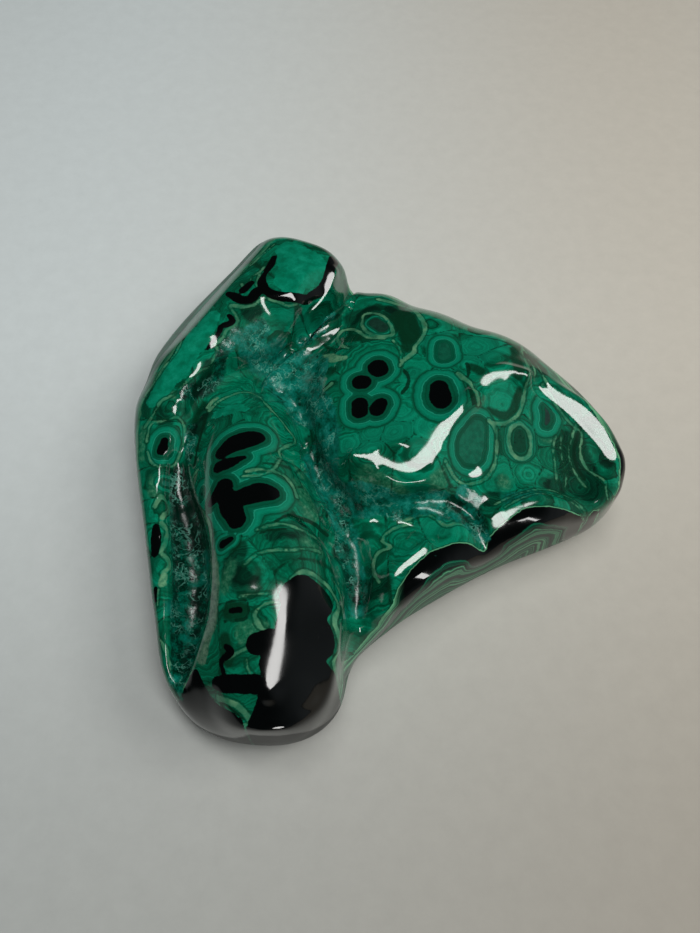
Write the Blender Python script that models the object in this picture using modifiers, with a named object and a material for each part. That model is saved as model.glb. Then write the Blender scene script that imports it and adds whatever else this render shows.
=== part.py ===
"""A polished malachite specimen: one stone, a palm-sized slab of grown-together botryoidal lobes.

The rough grew as rounded lobes: a long stalactite finger, a rim and a hooked ridge on its left, and a broad
dome on its right whose front edge is three bulges side by side. It was then ground to an outline, given a
flat base to stand on and polished, which left its hollows as they grew. The stone is one solid.

Lengths in the lists below are millimetres in the stone's own frame: +Z up, the origin at the middle of the
base, -Y the front, +X the side where the stone comes to its blunt point.
"""

import math

import bmesh
import bpy
from mathutils import Matrix, Vector

MM = 0.001  # metres in a millimetre

# Driving dimensions
BASE_CUT = 0.6  # ground off the bottom, to leave the flat that the stone stands on
CORE_TOP = 14.5  # height of the slab that the lobes stand on
ENVELOPE_TOP = 44.0  # higher than any lobe, so that only the sides and the bottom edge of the envelope cut
EDGE_RADIUS = 8.0  # how far the bottom edge is rounded
GROWTH_VOXEL = 1.0  # grid that grows the lobes together
HOLLOW_VOXEL = 0.5  # grid that runs the hollows together
STONE_VOXEL = 0.7  # grid of the ground stone, before its faces are thinned
MERGE_STEPS = 25  # smoothing passes that run the lobes into each other
TUMBLE_STEPS = 24  # smoothing passes that round over the ground edges
POLISH_STEPS = 4  # smoothing passes at the end, over the edges of the hollows too
WALL = 16.0  # height of a hollow's walls, which runs them out of the top of the stone
FLARE = 1.6  # how far a hollow's walls lean out over that height
MOST_TRIANGLES = 9200

# The stone seen from above, ground to this line: x, y
OUTLINE = [
    (-21.4, 51.6),
    (-14.0, 47.4),
    (-6.8, 44.7),
    (-2.2, 41.8),
    (12.0, 37.0),
    (23.0, 33.0),
    (32.0, 26.5),
    (38.5, 18.5),
    (43.2, 10.0),
    (45.5, 2.0),
    (45.0, -5.0),
    (41.5, -10.5),
    (33.5, -14.8),
    (22.0, -19.5),
    (10.0, -26.0),
    (1.0, -32.0),
    (-5.0, -38.0),
    (-6.6, -45.0),
    (-12.0, -49.8),
    (-20.5, -50.8),
    (-28.5, -49.0),
    (-34.0, -43.5),
    (-37.6, -32.0),
    (-41.0, -18.0),
    (-44.3, -4.0),
    (-46.2, 8.0),
    (-45.2, 19.0),
    (-40.0, 31.0),
    (-31.0, 42.0),
]

# Lobes drawn out along a line: name, then x, y, height of the crest, radius at each point of the line
RIDGES = {
    "finger": [
        (-25.0, 3.5, 22.0, 10.0),
        (-23.5, -5.0, 25.0, 10.5),
        (-21.5, -14.0, 26.5, 11.0),
        (-19.3, -24.0, 27.3, 11.5),
        (-18.0, -33.0, 27.3, 12.0),
        (-18.3, -40.5, 25.0, 11.5),
    ],
    "left_rim": [
        (-40.0, 8.0, 20.5, 8.5),
        (-39.5, -2.0, 20.0, 7.5),
        (-38.5, -12.0, 18.8, 6.5),
        (-37.0, -22.0, 18.3, 6.0),
        (-35.0, -31.0, 18.3, 6.0),
        (-32.5, -40.0, 18.3, 7.0),
    ],
    "hooked_ridge": [
        (-20.0, 39.5, 26.2, 12.5),
        (-26.0, 32.0, 25.3, 11.5),
        (-31.5, 24.5, 24.8, 11.0),
        (-35.5, 17.0, 23.6, 10.0),
        (-38.0, 10.0, 22.0, 8.0),
    ],
    "dome_crest": [
        (-1.5, -3.0, 23.0, 9.0),
        (5.5, -3.5, 26.0, 11.0),
        (12.5, 2.0, 28.0, 13.0),
        (19.0, 6.5, 28.0, 13.5),
        (27.5, 7.0, 26.0, 12.5),
        (34.5, 3.0, 24.0, 11.0),
        (39.0, -1.5, 20.5, 9.0),
    ],
}

# Rounded lobes: name, then centre, radii along its own axes, and how far it is turned about z
LOBES = {
    "nose": ((-15.5, 37.0, 14.5), (11.0, 12.5, 13.0), 0),
    "toe": ((-21.0, -39.0, 9.0), (15.0, 11.5, 14.0), 0),
    "rim_eye": ((-38.0, 0.0, 12.0), (6.0, 7.0, 9.0), 0),
    "dome_west": ((-4.5, 9.0, 8.0), (11.0, 21.0, 14.5), 0),
    "dome_fill": ((2.0, 10.5, 9.0), (14.0, 13.0, 16.5), 0),
    "dome_north": ((8.0, 19.5, 5.5), (21.0, 17.0, 19.0), -25),
    "dome_corner": ((1.0, 32.0, 8.0), (10.0, 8.0, 12.5), -25),
    "dome_back": ((22.0, 16.5, 7.0), (18.0, 12.0, 17.0), -35),
    "dome_front": ((21.0, -5.0, 8.0), (16.0, 12.0, 15.5), -10),
    "dome_point": ((35.0, -2.5, 6.0), (13.0, 12.0, 14.5), 0),
    "bulge_west": ((8.0, -25.5, 8.0), (14.0, 10.5, 12.2), 30),
    "bulge_web": ((17.5, -15.0, 8.0), (13.0, 7.0, 12.0), 20),
    "bulge_middle": ((27.0, -15.5, 8.5), (11.0, 8.5, 12.6), 15),
    "bulge_east": ((39.0, -9.0, 6.5), (9.0, 8.0, 12.0), 20),
}

# Hollows the polish never reached: name, then x, y, height of the floor, half width at each point of the line
HOLLOWS = {
    "pocket": [
        (-36.4, -4.0, 16.0, 1.6),
        (-35.8, -9.0, 14.5, 2.2),
        (-33.9, -16.0, 13.8, 3.0),
        (-32.0, -24.0, 13.5, 3.5),
        (-31.4, -33.0, 13.5, 3.1),
        (-31.7, -39.0, 14.5, 2.1),
        (-32.3, -44.5, 17.0, 0.8),
    ],
    "ridge_crease": [
        (-35.6, -3.0, 17.5, 1.0),
        (-35.0, 3.5, 18.2, 1.0),
        (-33.2, 9.5, 17.2, 1.5),
        (-28.5, 14.5, 15.8, 2.3),
        (-21.5, 19.5, 14.5, 1.2),
        (-15.0, 26.0, 14.5, 0.9),
        (-8.5, 32.5, 14.0, 0.9),
        (-4.5, 41.0, 12.5, 1.3),
    ],
    "finger_gully": [
        (-22.5, 16.0, 15.0, 1.8),
        (-15.8, 10.0, 14.0, 2.0),
        (-13.0, 1.5, 13.5, 1.4),
        (-10.8, -5.5, 13.0, 1.6),
        (-5.8, -14.5, 13.2, 3.0),
        (-4.3, -23.0, 13.0, 2.6),
        (-4.4, -32.0, 12.0, 1.4),
    ],
    "bulge_valley": [
        (-4.0, -15.0, 14.5, 2.0),
        (2.0, -13.0, 16.6, 1.3),
        (8.5, -12.0, 17.7, 1.2),
        (14.5, -14.3, 17.3, 1.9),
        (18.0, -22.0, 16.0, 0.9),
    ],
    "east_notch": [
        (34.0, -11.0, 19.0, 0.8),
        (35.8, -16.0, 15.5, 1.2),
    ],
    "upper_shell_edge": [
        (-18.5, -5.5, 22.5, 0.8),
        (-15.5, -4.7, 19.0, 1.0),
        (-12.0, -5.5, 14.5, 1.3),
    ],
    "lower_shell_edge": [
        (-15.5, -17.5, 24.5, 0.8),
        (-12.0, -17.8, 20.5, 1.0),
        (-8.0, -20.5, 14.0, 1.4),
    ],
}

# Flats worn on the dome before its edges were rounded over: name, then a point of it and the way it faces
WORN_FLATS = {
    "towards_the_ridge": ((3.2, -7.6, 24.6), (-0.16, 0.075, 0.984)),
    "towards_the_front": ((3.2, -7.6, 24.6), (0.175, -0.285, 0.942)),
}

# Flats ground last, whose edges stay crisp: name, then a point of it and the way it faces
FACETS = {
    "ridge_side": ((-34.2, 25.5, 23.0), (-0.60, 0.34, 0.72)),
    "ridge_top": ((-27.0, 26.0, 24.8), (-0.22, 0.14, 0.97)),
    "nose_top": ((-12.0, 33.0, 25.6), (0.12, 0.20, 0.97)),
    "dome_side": ((35.5, 4.0, 21.3), (0.57, 0.22, 0.79)),
}


def deselect_all():
    for each in bpy.context.selected_objects:
        each.select_set(False)


def collection_named(name, hidden=False):
    made = bpy.data.collections.new(name)
    bpy.context.scene.collection.children.link(made)
    made.hide_render = hidden
    return made


def as_mesh(source, collection):
    """The evaluated shape of source as a plain mesh object in the collection; source is removed."""
    bpy.context.view_layer.update()
    graph = bpy.context.evaluated_depsgraph_get()
    mesh = bpy.data.meshes.new_from_object(source.evaluated_get(graph))
    shape = bmesh.new()
    shape.from_mesh(mesh)
    bmesh.ops.remove_doubles(shape, verts=shape.verts, dist=0.01 * MM)
    bmesh.ops.transform(shape, matrix=source.matrix_world, verts=shape.verts)
    bmesh.ops.recalc_face_normals(shape, faces=shape.faces)
    shape.to_mesh(mesh)
    shape.free()
    made = bpy.data.objects.new(source.name + "_solid", mesh)
    collection.objects.link(made)
    bpy.data.objects.remove(source)
    return made


def slab(name, line, top, collection):
    """A closed slab from z 0 to top, whose widest outline is the line and whose edges are full rounds."""
    curve = bpy.data.curves.new(name, "CURVE")
    curve.dimensions = "2D"
    curve.fill_mode = "BOTH"
    curve.resolution_u = 6
    curve.bevel_depth = EDGE_RADIUS * MM
    curve.bevel_resolution = 5
    curve.offset = -EDGE_RADIUS * MM
    curve.extrude = (top / 2 - EDGE_RADIUS) * MM
    spline = curve.splines.new("BEZIER")
    spline.bezier_points.add(len(line) - 1)
    spline.use_cyclic_u = True
    for point, (x, y) in zip(spline.bezier_points, line):
        point.co = (x * MM, y * MM, 0.0)
        point.handle_left_type = point.handle_right_type = "AUTO"
    made = bpy.data.objects.new(name, curve)
    collection.objects.link(made)
    made.location.z = top / 2 * MM
    return as_mesh(made, collection)


def ball(name, centre, radii, turn, collection):
    mesh = bpy.data.meshes.new(name)
    shape = bmesh.new()
    bmesh.ops.create_uvsphere(shape, u_segments=40, v_segments=24, radius=MM)
    shape.to_mesh(mesh)
    shape.free()
    made = bpy.data.objects.new(name, mesh)
    collection.objects.link(made)
    size = Matrix.Diagonal((*radii, 1.0))
    place = Matrix.Translation(Vector(centre) * MM) @ Matrix.Rotation(math.radians(turn), 4, "Z")
    mesh.transform(place @ size)
    return made


def drawn_out(name, line, collection):
    """A tube along the line, with a ball at each end. Each point is x, y, z of the middle and a radius."""
    curve = bpy.data.curves.new(name, "CURVE")
    curve.dimensions = "3D"
    curve.bevel_depth = MM
    curve.bevel_resolution = 6
    curve.resolution_u = 8
    curve.use_fill_caps = True
    spline = curve.splines.new("BEZIER")
    spline.bezier_points.add(len(line) - 1)
    for point, (x, y, z, radius) in zip(spline.bezier_points, line):
        point.co = Vector((x, y, z)) * MM
        point.radius = radius
        point.handle_left_type = point.handle_right_type = "AUTO"
    tube = bpy.data.objects.new(name, curve)
    collection.objects.link(tube)
    made = [as_mesh(tube, collection)]
    for end, (x, y, z, radius) in (("start", line[0]), ("end", line[-1])):
        made.append(ball(f"{name}_{end}", (x, y, z), (radius,) * 3, 0, collection))
    return made


def ridge(name, line, collection):
    middles = [(x, y, crest - radius, radius) for x, y, crest, radius in line]
    return drawn_out(name, middles, collection)


def hollow(name, line, collection):
    """A trench cutter: the tube along the trench's floor, with its upper half lifted clear of the stone."""
    middles = [(x, y, floor + width, width) for x, y, floor, width in line]
    made = drawn_out(name, middles, collection)
    for piece in made:
        for vert in piece.data.vertices:
            if vert.normal.z > 0.0:
                vert.co += Vector((vert.normal.x * FLARE, vert.normal.y * FLARE, WALL)) * MM
    return made


def finish(obj, kind, **settings):
    """Adds one modifier and applies it."""
    modifier = obj.modifiers.new(kind.title(), kind)
    for key, value in settings.items():
        setattr(modifier, key, value)
    deselect_all()
    bpy.context.view_layer.objects.active = obj
    obj.select_set(True)
    bpy.ops.object.modifier_apply(modifier=modifier.name)


def ground_flat(obj, point, facing):
    """Cuts away what stands proud of the flat and closes the cut."""
    shape = bmesh.new()
    shape.from_mesh(obj.data)
    everything = shape.verts[:] + shape.edges[:] + shape.faces[:]
    cut = bmesh.ops.bisect_plane(
        shape,
        geom=everything,
        dist=0.001 * MM,
        plane_co=Vector(point) * MM,
        plane_no=Vector(facing),
        clear_outer=True,
    )
    edges = [each for each in cut["geom_cut"] if isinstance(each, bmesh.types.BMEdge)]
    bmesh.ops.holes_fill(shape, edges=edges, sides=0)
    bmesh.ops.triangulate(shape, faces=shape.faces)
    shape.to_mesh(obj.data)
    shape.free()


def grown_together(name, pieces, voxel):
    """Joins closed shapes into one skin, on a grid."""
    deselect_all()
    for piece in pieces:
        piece.select_set(True)
    bpy.context.view_layer.objects.active = pieces[0]
    bpy.ops.object.join()
    made = pieces[0]
    made.name = made.data.name = name
    finish(made, "REMESH", mode="VOXEL", voxel_size=voxel * MM)
    return made


def stand_on_origin(obj):
    """Moves the shape so that the origin is at the middle of its base."""
    low = Vector([min(vert.co[axis] for vert in obj.data.vertices) for axis in range(3)])
    high = Vector([max(vert.co[axis] for vert in obj.data.vertices) for axis in range(3)])
    middle = (low + high) / 2
    obj.data.transform(Matrix.Translation((-middle.x, -middle.y, -low.z)))


def malachite():
    made = bpy.data.materials.new("malachite")
    made.use_nodes = True
    surface = made.node_tree.nodes["Principled BSDF"]
    surface.inputs["Base Color"].default_value = (0.01, 0.17, 0.10, 1.0)
    surface.inputs["Roughness"].default_value = 0.12
    surface.inputs["IOR"].default_value = 1.75
    return made


def main():
    for obj in list(bpy.data.objects):
        bpy.data.objects.remove(obj)
    specimen = collection_named("malachite_specimen")
    helpers = collection_named("cutters", hidden=True)

    pieces = [slab("core", OUTLINE, CORE_TOP, specimen)]
    for name, line in RIDGES.items():
        pieces += ridge(name, line, specimen)
    for name, (centre, radii, turn) in LOBES.items():
        pieces.append(ball(name, centre, radii, turn, specimen))
    for piece in pieces:
        if piece.name.startswith("dome"):
            for point, facing in WORN_FLATS.values():
                ground_flat(piece, point, facing)
    stone = grown_together("stone", pieces, GROWTH_VOXEL)

    finish(stone, "SMOOTH", factor=0.5, iterations=MERGE_STEPS)

    envelope = slab("envelope", OUTLINE, ENVELOPE_TOP, helpers)
    envelope.hide_render = True
    envelope.display_type = "WIRE"
    finish(stone, "BOOLEAN", operation="INTERSECT", object=envelope)
    for point, facing in FACETS.values():
        ground_flat(stone, point, facing)
    finish(stone, "REMESH", mode="VOXEL", voxel_size=STONE_VOXEL * MM)
    finish(stone, "SMOOTH", factor=0.5, iterations=TUMBLE_STEPS)

    cutters = []
    for name, line in HOLLOWS.items():
        cutters += hollow(name, line, helpers)
    hollows = grown_together("hollows", cutters, HOLLOW_VOXEL)
    hollows.hide_render = True
    hollows.display_type = "WIRE"
    finish(stone, "BOOLEAN", operation="DIFFERENCE", object=hollows)
    finish(stone, "REMESH", mode="VOXEL", voxel_size=STONE_VOXEL * MM)
    finish(stone, "SMOOTH", factor=0.5, iterations=POLISH_STEPS)

    faces = sum(len(face.vertices) - 2 for face in stone.data.polygons)
    finish(stone, "DECIMATE", ratio=MOST_TRIANGLES / faces)
    ground_flat(stone, (0.0, 0.0, BASE_CUT), (0.0, 0.0, -1.0))
    stand_on_origin(stone)
    stone.data.materials.clear()
    stone.data.materials.append(malachite())


main()
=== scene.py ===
"""A polished malachite specimen: a palm-sized stone with a finger, a hooked ridge and a dome.

The script goes the way the stone is finished: its skin is taken from the solid and polished, the
hollows keep their velvety growth, and then the bands, eyes and seams that the polish laid open are
coloured in. Lengths in the stone's lists are millimetres in the stone's own frame, from above.
"""

import bpy
import numpy as np
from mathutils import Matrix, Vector
from mathutils.bvhtree import BVHTree


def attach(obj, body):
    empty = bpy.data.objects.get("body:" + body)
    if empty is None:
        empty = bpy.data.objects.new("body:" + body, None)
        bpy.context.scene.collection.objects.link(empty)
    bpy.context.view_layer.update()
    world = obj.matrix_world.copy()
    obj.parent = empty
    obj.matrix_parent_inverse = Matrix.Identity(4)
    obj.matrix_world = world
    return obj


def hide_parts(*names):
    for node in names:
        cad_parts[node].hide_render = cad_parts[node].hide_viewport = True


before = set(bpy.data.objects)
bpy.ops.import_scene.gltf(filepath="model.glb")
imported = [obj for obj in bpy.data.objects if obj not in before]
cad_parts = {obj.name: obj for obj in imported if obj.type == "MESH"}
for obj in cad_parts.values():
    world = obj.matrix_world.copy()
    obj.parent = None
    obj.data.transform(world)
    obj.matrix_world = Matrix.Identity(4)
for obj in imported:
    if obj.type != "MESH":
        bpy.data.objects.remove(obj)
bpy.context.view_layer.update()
bpy.ops.object.select_all(action="DESELECT")

# -------------------------------------------------------------------------------------------------
# The stone's skin
# Malachite, sawn and ground to shape, then tumbled and polished on felt. The polish is smooth as
# glass on the lobes and never reaches the hollows, which keep the velvety crust of fine needles
# that they grew with.

MM = 0.001
FAR = 30.0  # stands for any distance too far to matter
SKIN_GRID = 0.445  # how fine the skin is
SAME_POINT = 0.001

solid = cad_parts["stone"]
stone = bpy.data.objects.new("malachite_stone", solid.data.copy())
bpy.context.scene.collection.objects.link(stone)
bpy.context.view_layer.objects.active = stone
stone.select_set(True)
bpy.ops.object.mode_set(mode="EDIT")
bpy.ops.mesh.select_all(action="SELECT")
bpy.ops.mesh.remove_doubles(threshold=SAME_POINT * MM)
bpy.ops.object.mode_set(mode="OBJECT")


def worked(kind, **settings):
    """One step of work on the stone: a modifier, set and applied."""
    step = stone.modifiers.new(kind.title(), kind)
    for name, value in settings.items():
        setattr(step, name, value)
    bpy.ops.object.modifier_apply(modifier=step.name)


worked("REMESH", mode="VOXEL", voxel_size=SKIN_GRID * MM)


def skin_points():
    """The places of the skin's points, in mm."""
    flat = np.empty(len(stone.data.vertices) * 3)
    stone.data.vertices.foreach_get("co", flat)
    return flat.reshape(-1, 3) / MM


def skin_facing():
    """Which way the skin faces at each of its points."""
    flat = np.empty(len(stone.data.vertices) * 3)
    stone.data.vertices.foreach_get("normal", flat)
    return flat.reshape(-1, 3)


def moved_to(places):
    """Moves the skin's points to new places, in mm."""
    stone.data.vertices.foreach_set("co", (places * MM).ravel())
    stone.data.update()


def soft_step(value, low, high):
    """0 at low and 1 at high, with a soft start and end."""
    t = np.clip((value - low) / (high - low), 0.0, 1.0)
    return t * t * (3.0 - 2.0 * t)


def plan_distance(places, line):
    """How far each place is, seen from above, from a line of places."""
    away = np.full(len(places), np.inf)
    for start, end in zip(np.array(line[:-1], float), np.array(line[1:], float)):
        along = end - start
        off = places[:, :2] - start
        t = np.clip(off @ along / (along @ along), 0.0, 1.0)
        away = np.minimum(away, np.linalg.norm(off - t[:, None] * along, axis=1))
    return away


# The dome is ground to a soft roof: its crest, and the dale and rim that its front slope runs out
# to, x and y
CREST = [(-6.0, -5.0), (-3.5, -6.0), (1.0, -7.2), (5.0, -9.0), (8.8, -4.6), (12.5, 1.0),
         (16.0, 5.0), (19.5, 9.0), (24.0, 11.0), (30.0, 11.0), (38.0, 8.5), (43.0, 1.5),
         (46.0, -3.0)]
FOOT = [(-9.0, -8.0), (-4.5, -10.5), (1.0, -12.0), (10.5, -12.5), (17.5, -18.5), (21.0, -14.5),
        (26.0, -12.5), (32.0, -12.8), (37.5, -12.5), (43.0, -9.0)]
CREST_FALL = 0.56  # how steeply the roof falls from its crest
CREST_ROUND = 0.8
CREST_REACH = 5.0  # where the fall fades out
FOOT_REACH = 5.0
DOME_LEFT = -8.0
TOP_FROM = 8.0  # the height from which the skin counts as the top

points = skin_points()
crest_away = np.hypot(plan_distance(points, CREST), CREST_ROUND) - CREST_ROUND
in_front = points[:, 1] < np.interp(points[:, 0], *np.array(CREST).T)
foot_away = plan_distance(points, FOOT)
fall = CREST_FALL * CREST_REACH * np.tanh(crest_away / CREST_REACH)
fall *= soft_step(foot_away, 0.0, FOOT_REACH)
before_foot = points[:, 1] > np.interp(points[:, 0], *np.array(FOOT).T)
on_dome = (points[:, 0] > DOME_LEFT) & (points[:, 2] > TOP_FROM)
points[:, 2] -= np.where(in_front & before_foot & on_dome, fall, 0.0)

# The finger's blunt tip keeps its height nearly out to its edge: its two edges, x and y, each with
# how far in it is rounded and how much, and then the height of its back, y and z
TIP_RIGHT = [(-4.8, -33.0), (-5.4, -38.0), (-6.2, -42.0), (-7.6, -46.5)]
TIP_FRONT = [(-7.6, -46.5), (-12.0, -50.0), (-20.5, -51.0), (-26.5, -50.2)]
TIP_EDGES = [(TIP_RIGHT, 12.0, 0.035), (TIP_FRONT, 6.5, 0.062)]
TIP_BACK = [(-52.0, 21.1), (-45.0, 23.2), (-43.0, 23.9), (-40.0, 24.9), (-36.0, 25.9),
            (-30.0, 26.4)]
# Where the tip begins: axis, the value with none of it and the value with all of it
TIP_BEGINS = [(0, -27.0, -20.0), (1, -30.0, -36.0), (2, 13.0, 17.0)]

tip_height = np.interp(points[:, 1], *np.array(TIP_BACK).T)
tip_share = np.zeros(len(points))
for edge, reach, rounding in TIP_EDGES:
    tip_away = plan_distance(points, edge)
    tip_height -= rounding * np.clip(reach - tip_away, 0.0, None) ** 2
    tip_share = np.maximum(tip_share, soft_step(tip_away / reach, 1.0, 0.75))
for axis, none, full in TIP_BEGINS:
    tip_share *= soft_step(points[:, axis], none, full)
points[:, 2] += np.maximum(tip_height - points[:, 2], 0.0) * tip_share

# The stone was held askew on the felt wheel, so its lobes lean to the front, more so further back
LEAN = (-0.05, 0.40)
LEAN_GAIN = (0.0042, 0.0045)
RUN_STEPS = 24
RUN_SOFTENINGS = 3
RUN_PATCH = 0.9  # over what reach the top's height is read
GRIP = 1.35  # more than 1 makes the middle of the run wholly flat
MOST_GROUND = (2.5, 5.0)  # up to the first the felt takes all, past the second nothing
# Where the felt pressed, along each lobe: x, y, reach and how round it left the lobe
PRESSED = [
    [(3.4, -7.6, 6.0, 0.01), (5.4, -8.2, 6.0, 0.01)],
    [(-4.5, -6.0, 2.4, 0.0), (-1.5, -6.0, 2.8, 0.0), (2.0, -7.0, 3.4, 0.0), (5.0, -8.4, 3.6, 0.0),
     (7.6, -6.4, 3.4, 0.0), (11.0, -2.0, 2.6, 0.0), (14.2, 1.6, 2.4, 0.0), (17.2, 5.6, 2.4, 0.0)],
    [(17.6, 6.6, 1.8, 0.0), (19.4, 9.0, 2.0, 0.0), (22.4, 10.6, 2.2, 0.0), (26.8, 9.6, 2.0, 0.0)],
    [(29.5, 9.8, 2.6, 0.04), (33.0, 8.4, 4.2, 0.04), (37.0, 6.2, 5.0, 0.04),
     (40.2, 2.8, 5.0, 0.04), (42.6, -1.8, 3.4, 0.04)],
    [(19.2, -16.8, 1.8, 0.12), (22.2, -14.6, 2.0, 0.12), (27.6, -12.9, 1.8, 0.12)],
    [(2.6, -25.8, 1.8, 0.0), (5.0, -23.7, 2.0, 0.0), (7.8, -21.2, 1.8, 0.0)],
    [(-15.2, -31.5, 6.0, 0.16), (-15.4, -34.5, 9.0, 0.13), (-16.0, -39.5, 9.0, 0.10),
     (-17.0, -44.0, 5.0, 0.08), (-17.3, -45.5, 3.0, 0.08)],
    [(-13.0, 30.2, 2.6, 0.03), (-10.8, 32.0, 3.4, 0.03), (-8.4, 36.0, 2.6, 0.03)],
]
# Where it lay level: x, y and reach
LEVEL = [
    (-38.0, 7.0, 5.0), (-39.2, -4.0, 5.0), (-36.0, 11.5, 5.0), (-33.5, 16.0, 5.0),
    (-18.0, 30.5, 5.0), (39.5, -5.0, 4.0), (15.8, -9.6, 4.5), (-37.5, 3.5, 3.0),
    (-40.0, -1.6, 3.0), (-1.5, -15.5, 5.0), (3.5, -15.5, 4.0), (21.0, -11.5, 4.0),
]
LEVEL_LEAN = (0.05, -0.02)
LEVEL_PATCH = 1.8  # over what reach the top's lean is read
LEVEL_MOST = 0.5  # the most that a place is turned


def top_about(x, y, reach):
    """The stone's top close to a place: its places off the middle and their heights."""
    off = points[:, :2] - (x, y)
    close = np.where(((off * off).sum(1) < reach * reach) & (points[:, 2] > TOP_FROM))[0]
    return off[close], points[close, 2]


def turned_level(x, y, reach):
    """Turns the stone's top about a place until it leans a little to the left there."""
    off, height = top_about(x, y, LEVEL_PATCH)
    now = np.linalg.lstsq(np.column_stack([off, np.ones(len(off))]), height, rcond=None)[0][:2]
    turn = np.clip(np.array(LEVEL_LEAN) - now, -LEVEL_MOST, LEVEL_MOST)
    off = points[:, :2] - (x, y)
    window = np.clip(1.0 - (off * off).sum(1) / reach**2, 0.0, 1.0) ** 2
    points[:, 2] += np.where(points[:, 2] > TOP_FROM, off @ turn * window, 0.0)


def pressed_along(line):
    """Turns the stone's top along a run of places until it leans as it was held there.

    The run is walked in even steps. A plane with the right lean follows it at the top's own mean
    height, and the top is drawn to that plane, less and less to each side.
    """
    rows = np.array(line, float)
    marks = np.cumsum(np.linalg.norm(np.diff(rows[:, :2], axis=0), axis=1))
    marks = np.concatenate([[0.0], marks])
    along = np.linspace(0.0, marks[-1], RUN_STEPS)
    rows = np.column_stack([np.interp(along, marks, rows[:, axis]) for axis in range(4)])
    for softening in range(RUN_SOFTENINGS):
        rows[1:-1] = (rows[:-2] + 2.0 * rows[1:-1] + rows[2:]) / 4.0
    lean = np.array(LEAN) + np.array(LEAN_GAIN) * rows[:, :2]
    steps = np.diff(rows[:, :2], axis=0)
    rise = np.concatenate([[0.0], np.cumsum((steps * (lean[:-1] + lean[1:]) / 2.0).sum(1))])
    now = np.array([top_about(x, y, RUN_PATCH)[1].mean() for x, y, reach, roundness in rows])
    rise += np.mean(now - rise)
    nearest = np.full(len(points), FAR)
    target = points[:, 2].copy()
    window = np.zeros(len(points))
    for index in range(len(rows) - 1):
        start, end = rows[index], rows[index + 1]
        off = points[:, :2] - start[:2]
        run = end[:2] - start[:2]
        t = np.clip(off @ run / (run @ run), 0.0, 1.0)
        away = np.linalg.norm(off - t[:, None] * run, axis=1)
        here_lean = lean[index] + t[:, None] * (lean[index + 1] - lean[index])
        height = rise[index] + t * (rise[index + 1] - rise[index])
        height += ((off - t[:, None] * run) * here_lean).sum(1)
        reach = start[2] + t * (end[2] - start[2])
        height -= (start[3] + t * (end[3] - start[3])) * away**2 / 2.0
        closer = away < nearest
        nearest = np.where(closer, away, nearest)
        target = np.where(closer, height, target)
        window = np.where(closer, np.clip(1.0 - (away / reach) ** 2, 0.0, 1.0) ** 2, window)
    change = target - points[:, 2]
    taken = change * np.minimum(GRIP * window, 1.0)
    little, much = MOST_GROUND
    points[:, 2] += taken * soft_step(np.abs(change), much, little)


for place in LEVEL:
    turned_level(*place)
for line in PRESSED:
    pressed_along(line)

# Nothing stands over the finger's back, and then the wheel takes off what is fine
FINGER_TOP = 26.4
POLISH_PASSES = 14
highest = points[:, 2] > FINGER_TOP - 1.0
points[highest, 2] = FINGER_TOP - np.exp(FINGER_TOP - 1.0 - points[highest, 2])
moved_to(points)
worked("SMOOTH", factor=0.5, iterations=POLISH_PASSES)


def weighted(name, weights):
    """A vertex group that says how strongly each point of the skin is worked."""
    group = stone.vertex_groups.new(name=name)
    for index in np.where(weights > 0.01)[0]:
        group.add([int(index)], float(weights[index]), "REPLACE")


# The flat underside needs few faces: its bands are drawn from their places alone
UNDERSIDE = 0.05
SKIN_KEPT = 0.70  # the share of all faces that is kept
weighted("underside", skin_points()[:, 2] < UNDERSIDE)
worked("DECIMATE", ratio=SKIN_KEPT, vertex_group="underside", vertex_group_factor=10.0)
stone.vertex_groups.clear()

points = skin_points()
skin_tree = BVHTree.FromPolygons(
    [Vector(point) for point in points], [face.vertices[:] for face in stone.data.polygons]
)
ABOVE = 60.0  # higher than the stone
WALL_MIDDLE = 9.0


def on_skin(x, y):
    """The highest point of the stone over a place in plan, or the wall nearest to it."""
    hit = skin_tree.ray_cast(Vector((x, y, ABOVE)), Vector((0.0, 0.0, -1.0)))[0]
    if hit is None:
        hit = skin_tree.find_nearest(Vector((x, y, WALL_MIDDLE)))[0]
    return np.array(hit)


def curved(line, closed=False, step=0.8):
    """A smooth run through the line's places, laid on the skin, with any values after x and y."""
    rows = [np.array(row, float) for row in line]
    if len(rows) == 1:
        return np.array([np.concatenate([on_skin(*rows[0][:2]), rows[0][2:]])])
    count = len(rows) if closed else len(rows) - 1
    laid = []
    for index in range(count):
        if closed:
            around = [rows[(index + shift) % len(rows)] for shift in (-1, 0, 1, 2)]
            before, here, there, after = around
        else:
            here, there = rows[index], rows[index + 1]
            before = rows[index - 1] if index else 2 * here - there
            after = rows[index + 2] if index + 2 < len(rows) else 2 * there - here
        pieces = max(1, int(np.ceil(np.linalg.norm(there[:2] - here[:2]) / step)))
        for part in range(pieces):
            t = part / pieces
            row = 0.5 * (
                2 * here
                + (there - before) * t
                + (2 * before - 5 * here + 4 * there - after) * t * t
                + (3 * here - before - 3 * there + after) * t * t * t
            )
            laid.append(np.concatenate([on_skin(*row[:2]), row[2:]]))
    end = rows[0] if closed else rows[-1]
    laid.append(np.concatenate([on_skin(*end[:2]), end[2:]]))
    return np.array(laid)


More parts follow.
